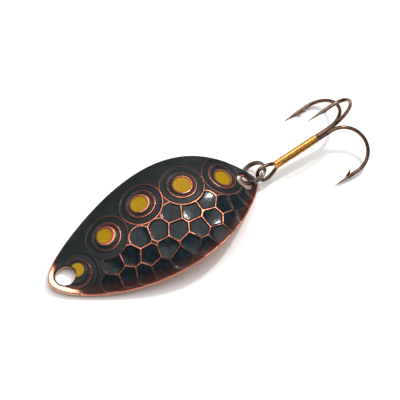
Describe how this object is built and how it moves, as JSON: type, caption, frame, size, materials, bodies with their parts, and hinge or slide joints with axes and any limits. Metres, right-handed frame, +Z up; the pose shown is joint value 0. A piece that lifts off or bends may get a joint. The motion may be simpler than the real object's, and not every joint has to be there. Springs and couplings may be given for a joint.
{
  "type": "spoon lure",
  "caption": "Curved oval metal spoon lure with a hammered, ring-eyed face, split ring and brazed treble hook.",
  "frame": {"origin": "centre of the whole lure's bounding box in plan, on the plane it lies on", "axes": "+X from the blade's nose towards the hook, +Y towards the side with the ringed eyes, +Z up, away from the plane it lies on"},
  "size_m": [0.0732, 0.0234, 0.0174],
  "materials": {
    "copper": "antiqued copper, dark patina, bright ridges",
    "enamel": "translucent mustard enamel",
    "ring_steel": "dark nickel plated spring wire",
    "hook_steel": "bronzed hook wire",
    "braze": "bright braze metal"
  },
  "bodies": {
    "blade": {"spoon_blade": "copper", "eye_spot_1": "enamel", "eye_spot_2": "enamel", "eye_spot_3": "enamel", "eye_spot_4": "enamel", "eye_spot_5": "enamel"},
    "ring": {"split_ring": "ring_steel"},
    "treble": {"double_hook": "hook_steel", "single_hook": "hook_steel", "shank_braze": "braze"}
  },
  "joints": [
    {"name": "ring_swing", "type": "hinge", "parent": "blade", "child": "ring", "pos_m": [0.01053, 0.00097, 0.00227], "axis": [-0.6605, 0.5847, 0.4711], "range_deg": [0, 70]},
    {"name": "hook_swing", "type": "hinge", "parent": "ring", "child": "treble", "pos_m": [0.01342, -0.00043, 0.00445], "axis": [0.5554, 0.7811, -0.2854], "range_deg": [-80, 10]}
  ]
}
